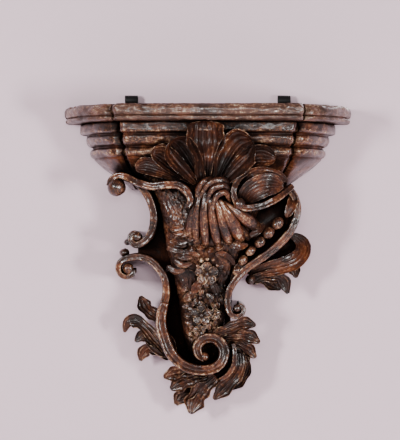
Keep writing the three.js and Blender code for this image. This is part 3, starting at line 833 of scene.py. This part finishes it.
blades(drapery_block, (
    (((-58, -112, -128), (-46, -120, -136), (-36, -122, -134)), 10),
    (((-54, -112, -146), (-42, -120, -150), (-30, -122, -148)), 10),
    (((30, -116, -152), (44, -122, -156), (60, -114, -152)), 10),
    (((62, -116, -140), (74, -116, -132), (84, -108, -120)), 11)), steps=12)

hem_leaves = 6
for i in range(hem_leaves):
    left = -31 + 13.5 * i
    hem = -157 + 2.5 * math.sin(2.1 * i) + 0.35 * max(left, 0)
    blade(drapery_block, ((left, -113, hem + 3), (left + 6, -122, hem - 2), (left + 14, -114, hem + 2)), 9,
          steps=10, polish=0.15)
drapery_piece = finish_piece(drapery_block, "drapery_fan", "carved_bracket")

# %% [markdown]
# A string of six pearls falls out of a husk along the long C, and ends in a small leaf. They grow smaller
# downward and are a little longer than wide. A carver leaves each one standing on a stub of wood, so here
# a short stem runs from each pearl back into the block.

# %% Pearls and husk
pearl_block = new_block()
PEARLS = 6
pearl_route = [spot(110, -112, -114), spot(80, -112, -146), spot(58, -104, -168), spot(38, -94, -200)]
pearl_points, pearl_headings = smooth_route(pearl_route, 2 * PEARLS)
for i in range(PEARLS):
    point, heading = pearl_points[2 * i + 1], pearl_headings[2 * i + 1]
    size = (8.3 - 0.45 * i) * MM
    slope = Matrix.Rotation(math.atan2(heading.x, heading.z), 4, "Y")
    place = Matrix.Translation(point) @ slope @ Matrix.Diagonal((size, 1.1 * size, 1.3 * size, 1))
    made = bmesh.ops.create_icosphere(pearl_block, subdivisions=3, radius=1.0, matrix=place)
    for vert in made["verts"]:
        vert[pearl_block.verts.layers.float["rub"]] = 0.7
    reach = -point.y - 50 * MM
    stem = Matrix.Translation(point + Vector((0, 0.5 * reach, 0))) @ Matrix.Rotation(math.pi / 2, 4, "X")
    bmesh.ops.create_cone(pearl_block, cap_ends=True, segments=12, radius1=0.7 * size, radius2=0.7 * size,
                          depth=reach, matrix=stem)
blade(pearl_block, ((127, -100, -76), (125, -110, -92), (116, -112, -112)), 17,
      swell=(0.5, 1, 0.9, 0.5), veins=1)
blade(pearl_block, ((50, -98, -178), (43, -98, -192), (34, -92, -208)), 12,
      swell=(0.5, 1, 0.8, 0.4), veins=1)
pearl_piece = finish_piece(pearl_block, "pearl_string", "carved_bracket")

# %% [markdown]
# On the punched ground lie two large flowers, two small ones and many leaves. A flower is five cupped
# petals round a seeded eye, each petal a short blade. One function makes them all, so they differ only in
# size and place.

# %% Flowers on the ground
PETALS = 5
flower_block = new_block()


def flower(bm, x, y, z, radius):
    """Five cupped petals round a seeded eye."""
    for i in range(PETALS):
        angle = 2 * math.pi * i / PETALS + 0.3
        dx, dz = math.cos(angle), math.sin(angle)
        spine = [(x + dx * radius * r, y - lift, z + dz * radius * r)
                 for r, lift in ((0.1, 0), (0.45, 1.5), (0.8, 2.5), (1.05, 1.0))]
        blade(bm, spine, 0.95 * radius, swell=(0.5, 0.95, 1.0, 0.7), thick=0.5 * radius, veins=1, steps=8,
              polish=0.45, relief=0.4)
    boss(bm, x, y - 3, z, 0.26 * radius, detail=2, rub=0.7)


flower(flower_block, -2, -108, -196, 17)
flower(flower_block, -10, -88, -258, 15)
flower(flower_block, 10, -84, -257, 9)
flower(flower_block, -13, -74, -282, 9)
blades(flower_block, (
    (((-8, -98, -204), (-16, -100, -214), (-24, -94, -226)), 14),
    (((4, -98, -206), (10, -98, -216), (14, -90, -228)), 12),
    (((-16, -102, -190), (-30, -104, -184), (-40, -98, -188)), 12),
    (((12, -102, -190), (22, -102, -186), (30, -94, -192)), 10),
    (((-52, -106, -174), (-38, -116, -165), (-26, -116, -164), (-12, -112, -170)), 9),
    (((10, -112, -168), (22, -114, -166), (34, -106, -175), (40, -98, -184)), 9)), steps=12)
print("faces of the flowers so far", len(flower_block.faces))

# %% [markdown]
# The small leaves are laid by loops. Nine sprigs lie one above the other beside the scrolls on the left.
# The others fill the ground below the large flower. Each is turned against the last and swings from side
# to side, since a carver fills a ground leaf by leaf and never in rows, and some have a seed beside them.

# %% Small leaves on the ground
side_leaves = 9
ground_leaves = 42
for i in range(side_leaves):
    low, reach = -112 - 9 * i, 34 + 7 * math.sin(1.7 * i)
    blade(flower_block, ((-reach - 22, -112 + 0.6 * i, low),
                         (-reach - 8, -121 + i, low - 7 - 2 * math.sin(i)),
                         (-reach + 6, -124 + 1.4 * i, low - 6)), 9, steps=10, polish=0.1)
for i in range(ground_leaves):
    share = i / (ground_leaves - 1)
    height = -214 - 84 * share
    reach = 30 - 14 * share
    across = -4 - 6 * share + reach * math.sin(2.4 * i)
    lift = 97 - 30 * share - 0.012 * (across + 6) ** 2
    angle = 1.9 * i
    dx, dz = 9 * math.cos(angle), 9 * math.sin(angle)
    blade(flower_block, ((across - dx, -lift + 3, height - dz), (across, -lift - 2, height),
                         (across + dx, -lift + 2, height + dz)), 8 - 2 * share, veins=1, steps=8, polish=0.3)
    if i % 3 == 0:
        boss(flower_block, across + 7, -lift - 1, height + 6, 3, detail=2)
for x, z in ((-10, -176), (-1, -174), (8, -175), (-15, -184), (14, -183)):
    boss(flower_block, x, -113, z, 3.4, detail=2, rub=0.9)
flower_piece = finish_piece(flower_block, "ground_flowers", "carved_bracket")

# %% [markdown]
# Acanthus leaves turn out at the foot and behind the volute, and one long leaf rolls out at the right.
# Each finger of a leaf is its own blade with three swellings along its edge, for the notches that the
# carver cuts there. Fingers that overlap at a shared root look like one leaf, and each keeps its own
# raised rim, which one broad leaf cut from a single sheet would lose.

# %% Leaves
leaf_block = new_block()
finger = dict(swell=(0.6, 0.9, 1, 1.05, 0.6), thick=9, veins=3, relief=0.62, steps=32, lobes=3, polish=0.19)
palm = dict(swell=(0.4, 0.85, 1, 0.85, 0.5), thick=7, veins=4, relief=0.2, steps=20)
blade(leaf_block, ((-52, -56, -320), (-74, -48, -300), (-96, -40, -290)), 40, **palm)
blades(leaf_block, (
    (((-56, -64, -322), (-76, -62, -300), (-92, -56, -281), (-108, -50, -269), (-121, -46, -271),
      (-127, -38, -287)), 19),
    (((-64, -54, -314), (-84, -48, -298), (-99, -42, -292), (-111, -34, -301)), 17),
    (((-58, -50, -324), (-78, -44, -313), (-92, -40, -311), (-99, -36, -319), (-103, -30, -331)), 18),
    (((-66, -60, -272), (-82, -54, -259), (-94, -46, -249), (-103, -40, -231)), 20),
    (((0, -66, -345), (-20, -68, -344), (-44, -60, -347), (-68, -48, -354)), 22),
    (((0, -62, -350), (-22, -64, -354), (-42, -56, -363), (-57, -46, -373)), 24),
    (((12, -62, -352), (-6, -62, -368), (-18, -54, -386), (-27, -44, -410)), 29),
    (((-8, -52, -364), (-28, -50, -376), (-42, -46, -386), (-49, -40, -397)), 21),
    (((48, -62, -316), (48, -64, -338), (34, -58, -360), (8, -48, -388)), 22),
    (((54, -54, -322), (60, -50, -338), (52, -44, -358), (36, -38, -374)), 14),
    (((8, -74, -288), (34, -74, -279), (54, -66, -272), (73, -56, -275)), 19),
    (((14, -70, -294), (38, -68, -289), (60, -58, -291), (79, -48, -302)), 20),
    (((18, -66, -302), (39, -62, -302), (58, -54, -311), (73, -44, -325)), 20),
    (((24, -62, -310), (42, -58, -316), (54, -50, -326), (62, -42, -337)), 18)), **finger)
blade(leaf_block, ((66, -70, -196), (90, -72, -190), (115, -70, -184), (133, -66, -176), (143, -60, -164),
                   (143, -54, -152), (135, -52, -143), (122, -56, -139)), 27, thick=14, veins=4, steps=44)
blades(leaf_block, (
    (((64, -72, -208), (88, -72, -200), (110, -64, -204), (122, -50, -228)), 19),
    (((96, -66, -190), (116, -62, -186), (130, -54, -191), (134, -46, -204)), 17),
    (((58, -46, -188), (82, -34, -204), (100, -24, -216), (112, -20, -222)), 17)), **finger)
boss(leaf_block, 64, -70, -206, 8)
leaf_piece = finish_piece(leaf_block, "acanthus_leaves", "carved_bracket")

# %% [markdown]
# Two straps of blackened iron are let into the back. The smith rolled the top of each one forward into
# an eye that drops over a hook in the wall. A strap is one flat section pulled straight up and then round
# the eye, so the iron keeps its thickness through the bend as forged iron nearly does.

# %% Hangers
strap_section = [(-0.5, 0.12, 0.6, 0), (-0.46, 0.0, 0.6, 0), (0.46, 0.0, 0.6, 0), (0.5, 0.12, 0.6, 0),
                 (0.5, 0.88, 0.3, 0), (0.46, 1.0, 0.3, 0), (-0.46, 1.0, 0.3, 0), (-0.5, 0.88, 0.3, 0)]
STRAP_THICK = 3.5 * MM
ROLL_STEP = 15  # degrees
ROLL_STEPS = 21


def hanger(name, node):
    """A strap with its rolled eye, inside the box of its solid."""
    low, high = [Vector(corner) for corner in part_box(node)]
    middle_x = (low.x + high.x) / 2
    width, outer = high.x - low.x, -low.y / 2
    eye_z = high.z - outer
    straight = [(0.0, low.z + share * (eye_z - low.z)) for share in (0.0, 0.3, 0.7, 1.0)]
    angles = [math.radians(ROLL_STEP * k) for k in range(1, ROLL_STEPS + 1)]
    roll = [(-outer + outer * math.cos(angle), eye_z + outer * math.sin(angle)) for angle in angles]
    points = straight + roll
    frames = []
    for i, (y, z) in enumerate(points):
        before, after = points[max(i - 1, 0)], points[min(i + 1, len(points) - 1)]
        heading = Vector((0, after[0] - before[0], after[1] - before[1])).normalized()
        inward = heading.cross(Vector((1, 0, 0)))
        if i < len(straight):
            inward = Vector((0, -1, 0))
        elif inward.dot(Vector((0, -outer - y, eye_z - z))) < 0:
            inward.negate()
        frames.append(frame_at(Vector((middle_x, y, z)), Vector((1, 0, 0)), inward, width, STRAP_THICK))
    bm = new_block()
    pull(bm, strap_section, frames, frames)
    return finish_piece(bm, name, node, levels=0, wander=0.0, tooling=0.0)


hanger_pieces = [hanger("iron_hanger_left", "hanger_left"), hanger("iron_hanger_right", "hanger_right")]

# %% [markdown]
# A material in Blender is a graph of small nodes. The finish below is long, so it gets a small helper of
# its own: each method adds one node and gives back its output, and the lines that use it can be read in
# the order in which a finisher works.

# %% Helper for a finish
class Finish:
    """A material under work."""

    def __init__(self, name):
        self.material = bpy.data.materials.new(name)
        self.material.use_nodes = True
        self.tree = self.material.node_tree
        self.tree.nodes.clear()

    def feed(self, socket, value):
        """Links an output to the socket, or sets the socket to a colour or a number."""
        if isinstance(value, bpy.types.NodeSocket):
            self.tree.links.new(value, socket)
        else:
            socket.default_value = (*value, 1) if isinstance(value, tuple) else value

    def add(self, kind, **settings):
        """Adds a node and feeds its sockets, or sets its options."""
        node = self.tree.nodes.new("ShaderNode" + kind)
        for key, value in settings.items():
            if key in node.inputs:
                self.feed(node.inputs[key], value)
            else:
                setattr(node, key, value)
        return node

    def maths(self, operation, first, second, clamp=False):
        """One sum on two values."""
        node = self.add("Math", operation=operation, use_clamp=clamp)
        self.feed(node.inputs[0], first)
        self.feed(node.inputs[1], second)
        return node.outputs[0]

    def mixed(self, share, first, second):
        """The first colour going over into the second one."""
        node = self.add("Mix", data_type="RGBA")
        for index, value in ((0, share), (6, first), (7, second)):
            self.feed(node.inputs[index], value)
        return node.outputs[2]

    def ramp(self, source, stops):
        """Colours by the source's value. A stop holds a place and a colour."""
        node = self.add("ValToRGB", Fac=source)
        elements = node.color_ramp.elements
        while len(elements) < len(stops):
            elements.new(0.5)
        for element, (place, colour) in zip(elements, stops):
            element.position = place
            element.color = (*colour, 1)
        return node.outputs["Color"]

    def cloud(self, where, **settings):
        """Soft random patches between 0 and 1."""
        return self.add("TexNoise", Vector=where, **settings).outputs["Fac"]

    def carried(self, name):
        """A value that the points carry, such as the rub."""
        return self.add("Attribute", attribute_name=name).outputs["Fac"]


print("kinds of node helpers", [name for name in vars(Finish) if not name.startswith("_")])

# %% [markdown]
# Three patterns lie over the wood. Broad patches are stain taken up unevenly, fine specks are dirt and
# knocks, and streaks follow the cuts of the tool, because they are laid out by `run` and `across` and not
# by the room. How open a point lies is measured by ambient occlusion, looking round it for other wood. The
# hollows it finds get painted shade, standing for the shade that falls in them and for the dark wax where
# cloth doesn't reach. The flat back counts as open, or the wall so close behind it would paint it black.

# %% Patterns and openness
BLACK, WHITE = (0, 0, 0), (1, 1, 1)
SHADE_REACH = 34 * MM


def patterns(finish, streak_scale):
    """Patches, specks and streaks by name."""
    room = finish.add("TexCoord").outputs["Object"]
    patches = finish.cloud(room, Scale=30.0, Detail=5.0, Roughness=0.6)
    specks = finish.cloud(room, Scale=240.0, Detail=6.0, Roughness=0.74)
    cuts = finish.add("CombineXYZ", X=finish.maths("MULTIPLY", finish.carried("run"), streak_scale),
                      Y=finish.maths("MULTIPLY", finish.carried("across"), 900.0))
    streaks = finish.cloud(cuts.outputs["Vector"], Scale=1.0, Detail=5.0, Roughness=0.65)
    return dict(patches=patches, specks=specks, streaks=streaks)


def facing_and_openness(finish):
    """Which way a point faces, and how open it lies by ambient occlusion, for the painted shade."""
    facing = finish.add("SeparateXYZ", Vector=finish.add("NewGeometry").outputs["Normal"])
    # Ambient occlusion: the darkness it finds is painted into the colour as shade.
    around = finish.add("AmbientOcclusion", Distance=SHADE_REACH, samples=8).outputs["AO"]
    at_the_back = finish.maths("GREATER_THAN", facing.outputs["Y"], 0.5)
    return facing, finish.maths("MAXIMUM", around, at_the_back)


print("shade is looked for within", SHADE_REACH, "m")

# %% [markdown]
# The finish is a dark stain under many coats of wax. It is red-brown where the wood is open, worn to rust,
# tan and cream on rims and fillets, and painted nearly black in the hollows, as painted shade and dark wax.
# A painted image could hold this, but it would have to be made for this one piece. Here the colour follows
# three things that any carving has: how shut in a point lies, which sets the painted shade, how much it has
# been rubbed, and uneven patches of wear. The gloss follows them too: rubbed wood is waxed and bright,
# hollows are dull, and dust dulls what faces up if asked.

# %% Colour of old wax and bare wood
WEAR_START = 3.14
RAGGED_BY = ((2.2, "streaks"), (2.4, "specks"), (1.5, "patches"))


def worn_colour(finish, pattern, openness, hollow_shade_and_dullness, deep, dim, stain, open_wood, rust, worn, cream,
                rub_weight, edge_amount):
    """Stain and streaks, painted shade in the hollows, then the wear from rust to cream."""
    body = finish.ramp(pattern["patches"], [(0.36, dim), (0.5, stain), (0.62, open_wood)])
    dark_streak = finish.ramp(pattern["streaks"], [(0.36, (0.85,) * 3), (0.52, BLACK)])
    streaked = finish.mixed(dark_streak, body, dim)
    # Painted shade: the occluded hollows go over to the nearly black deep colour, for shade and dark wax.
    shaded = finish.mixed(hollow_shade_and_dullness, streaked, deep)
    layers = [finish.maths("MULTIPLY", pattern[name], weight) for weight, name in RAGGED_BY]
    ragged = finish.maths("ADD", finish.maths("ADD", layers[0], layers[1]), layers[2])
    rubbed = finish.maths("MULTIPLY", finish.carried("rub"), rub_weight)
    wear = finish.maths("SUBTRACT", finish.maths("ADD", rubbed, ragged), WEAR_START)
    wear_mask = finish.ramp(wear, [(0.3, BLACK), (0.85, (edge_amount,) * 3)])
    share = finish.maths("MULTIPLY", wear_mask, openness)
    pale = finish.ramp(wear, [(0.35, rust), (0.7, worn), (0.98, cream)])
    return finish.mixed(share, shaded, pale)


# %% [markdown]
# The wax lies over the colour as a thin clear coat, thick where the wood is handled and gone in the
# hollows, where it holds dust. The coat is what gives the small hard lights on the mouldings. A low bump
# from the streaks and specks breaks those lights up, as the marks of the tool do.

# %% Wax on top
COAT, COAT_ROUGHNESS = 0.28, 0.14
SHINE = 0.46
HOLLOW_DULLNESS = 0.45


def wood_finish(name, streak_scale, roughness, dust=0.0, **colours):
    """Waxed and worn wood, from the painted black shade of the hollows to the cream of the rubbed rims."""
    finish = Finish(name)
    pattern = patterns(finish, streak_scale)
    facing, openness = facing_and_openness(finish)
    # The hollow mask from ambient occlusion paints shade into the colour and also dulls the wax there.
    hollow_shade_and_dullness = finish.ramp(openness, [(0.32, WHITE), (0.84, BLACK)])
    shader = finish.add("BsdfPrincipled")
    shader.inputs["Coat Roughness"].default_value = COAT_ROUGHNESS
    colour = worn_colour(finish, pattern, openness, hollow_shade_and_dullness, **colours)
    finish.feed(shader.inputs["Base Color"], colour)

    gloss = finish.maths("ADD", finish.maths("MULTIPLY", pattern["specks"], 0.25), roughness - 0.12)
    rubbed = finish.maths("MULTIPLY", finish.carried("rub"), 1.4)
    handled = finish.maths("ADD", rubbed, 0.12, clamp=True)
    upward = finish.maths("SUBTRACT", facing.outputs["Z"], 0.7)
    dusty = finish.maths("MULTIPLY", upward, 4.0 * dust, clamp=True)
    dull = finish.maths("MAXIMUM", hollow_shade_and_dullness, dusty)
    waxed = finish.maths("MULTIPLY", finish.maths("SUBTRACT", 1.0, dull), handled)
    duller = finish.maths("ADD", gloss, finish.maths("MULTIPLY", dull, HOLLOW_DULLNESS))
    finish.feed(shader.inputs["Roughness"], duller)
    finish.feed(shader.inputs["Coat Weight"], finish.maths("MULTIPLY", waxed, COAT))
    finish.feed(shader.inputs["Specular IOR Level"], finish.maths("MULTIPLY", waxed, SHINE))

    height = finish.maths("ADD", finish.maths("MULTIPLY", pattern["streaks"], 0.7), pattern["specks"])
    bump = finish.add("Bump", Strength=0.35, Distance=0.7 * MM, Height=height)
    finish.feed(shader.inputs["Normal"], bump.outputs["Normal"])
    finish.add("OutputMaterial", Surface=shader.outputs[0])
    print(name, "nodes", len(finish.tree.nodes))
    return finish.material


# %% [markdown]
# The carving and the shelf share this finish with different numbers. The shelf is paler, drier and
# dustier than the carving, as a surface that things stand on comes to be.

# %% Carved wood and shelf wood
def cover(pieces, material):
    """Gives each piece this material and no other."""
    for piece in pieces:
        piece.data.materials.clear()
        piece.data.materials.append(material)


# deep is the painted shade colour of the hollows, with dark wax in it.
carved_finish = wood_finish("carved_wood_patina", streak_scale=70.0, roughness=0.22,
                            deep=(0.004, 0.0026, 0.0024), dim=(0.014, 0.0062, 0.0042),
                            stain=(0.038, 0.0108, 0.006), open_wood=(0.11, 0.028, 0.01),
                            rust=(0.165, 0.046, 0.015), worn=(0.25, 0.11, 0.048), cream=(0.54, 0.4, 0.26),
                            rub_weight=0.7, edge_amount=0.9)
shelf_finish = wood_finish("shelf_wood_patina", streak_scale=55.0, roughness=0.32, dust=1.0,
                           deep=(0.02, 0.011, 0.008), dim=(0.03, 0.014, 0.01),
                           stain=(0.064, 0.025, 0.016), open_wood=(0.12, 0.038, 0.02),
                           rust=(0.14, 0.05, 0.028), worn=(0.18, 0.1, 0.062), cream=(0.38, 0.29, 0.2),
                           rub_weight=0.5, edge_amount=0.9)
cover([cornice_piece, body_piece, web_piece, left_piece, right_piece, long_piece, shell_piece,
       drapery_piece, pearl_piece, flower_piece, leaf_piece], carved_finish)
cover([shelf_piece], shelf_finish)

# %% [markdown]
# The straps were blackened over the fire and have gone dull. Plain dark metal with a rough surface is
# enough for them, since only the eyes show above the shelf.

# %% Iron
iron = bpy.data.materials.new("blackened_iron")
iron.use_nodes = True
iron_shader = iron.node_tree.nodes["Principled BSDF"]
iron_shader.inputs["Metallic"].default_value = 0.8
iron_shader.inputs["Base Color"].default_value = (0.013, 0.012, 0.012, 1)
iron_shader.inputs["Roughness"].default_value = 0.58
cover(hanger_pieces, iron)
print("iron covers", [piece.name for piece in hanger_pieces])

# %% [markdown]
# The bracket hangs on a plain pale mauve-grey wall, with a floor well below it. Both are there for the
# surroundings only and are not part of the piece. Seen from behind they are clear, or a view of the back
# or the underside would show nothing but the wall or floor, and they cast no shadow.

# %% Wall and floor
def plain(name, colour):
    """Dull paint in one colour."""
    material = bpy.data.materials.new(name)
    material.use_nodes = True
    shader = material.node_tree.nodes["Principled BSDF"]
    shader.inputs["Base Color"].default_value = (*colour, 1)
    shader.inputs["Roughness"].default_value = 0.8
    return material


def stage_plane(name, size, matrix, material):
    """A square of the given half side, laid where the matrix puts it."""
    bm = bmesh.new()
    bmesh.ops.create_grid(bm, x_segments=1, y_segments=1, size=size, matrix=matrix)
    mesh = bpy.data.meshes.new(name)
    bm.to_mesh(mesh)
    bm.free()
    plane = bpy.data.objects.new(name, mesh)
    plane.data.materials.append(material)
    bpy.context.scene.collection.objects.link(plane)


def one_sided(material):
    """Lets sight through from behind, and light from any side, so that every view is clear and lit."""
    tree = material.node_tree
    shader = tree.nodes["Principled BSDF"]
    clear = tree.nodes.new("ShaderNodeBsdfTransparent")
    mix = tree.nodes.new("ShaderNodeMixShader")
    facing = tree.nodes.new("ShaderNodeNewGeometry")
    path = tree.nodes.new("ShaderNodeLightPath")
    either = tree.nodes.new("ShaderNodeMath")
    either.operation = "MAXIMUM"
    tree.links.new(facing.outputs["Backfacing"], either.inputs[0])
    tree.links.new(path.outputs["Is Shadow Ray"], either.inputs[1])
    tree.links.new(either.outputs[0], mix.inputs[0])
    tree.links.new(shader.outputs[0], mix.inputs[1])
    tree.links.new(clear.outputs[0], mix.inputs[2])
    tree.links.new(mix.outputs[0], tree.nodes["Material Output"].inputs["Surface"])


wall_paint = plain("pale_wall", (0.66, 0.495, 0.56))
one_sided(wall_paint)
upright = Matrix.Rotation(math.pi / 2, 4, "X")
stage_plane("wall", 3.0, Matrix.Translation((0, 0.6 * MM, 0)) @ upright, wall_paint)
floor_paint = plain("pale_floor", (0.6, 0.57, 0.58))
one_sided(floor_paint)
stage_plane("floor", 3.0, Matrix.Translation((0, 0, -1.2)), floor_paint)
print("wall", wall_paint.name, "floor", floor_paint.name)

# %% [markdown]
# Two soft lamps stand to the left and right in front of the wall, the left one a little higher. A wide
# flat one behind the camera draws the bright lines on the waxed mouldings, which reflect it as a strip. A
# last lamp stands behind the wall and shows the plain back when the view is from there. Area lamps are
# used, because their size is what softens the shadows beside the scrolls.

# %% Lamps
def lamp(name, place, target, size, power):
    """A rectangular lamp that faces its target. Size in metres, power in watts."""
    data = bpy.data.lights.new(name, "AREA")
    data.shape = "RECTANGLE"
    data.size, data.size_y = size
    data.energy = power
    light = bpy.data.objects.new(name, data)
    light.location = place
    light.rotation_euler = (Vector(target) - Vector(place)).to_track_quat("-Z", "Y").to_euler()
    bpy.context.scene.collection.objects.link(light)
    print(name, "at", place, power, "W")


lamp("lamp_left", (-1.6, -2.2, 0.2), (0, -0.05, -0.1), (0.36, 0.56), 68)
lamp("lamp_right", (1.7, -2.2, -0.35), (0, -0.05, -0.1), (0.36, 0.56), 64)
lamp("lamp_front", (0.1, -3.8, 0.25), (0, -0.05, -0.1), (1.2, 0.3), 46)
lamp("lamp_behind", (1.0, 2.4, 1.3), (0, 0, -0.1), (0.9, 0.9), 60)
world = bpy.context.scene.world or bpy.data.worlds.new("world")
bpy.context.scene.world = world
world.use_nodes = True
world.node_tree.nodes["Background"].inputs["Color"].default_value = (0.88, 0.84, 0.84, 1)
world.node_tree.nodes["Background"].inputs["Strength"].default_value = 0.32

# %% [markdown]
# The worked surface wanders only a little about the solids, at most about two millimetres.
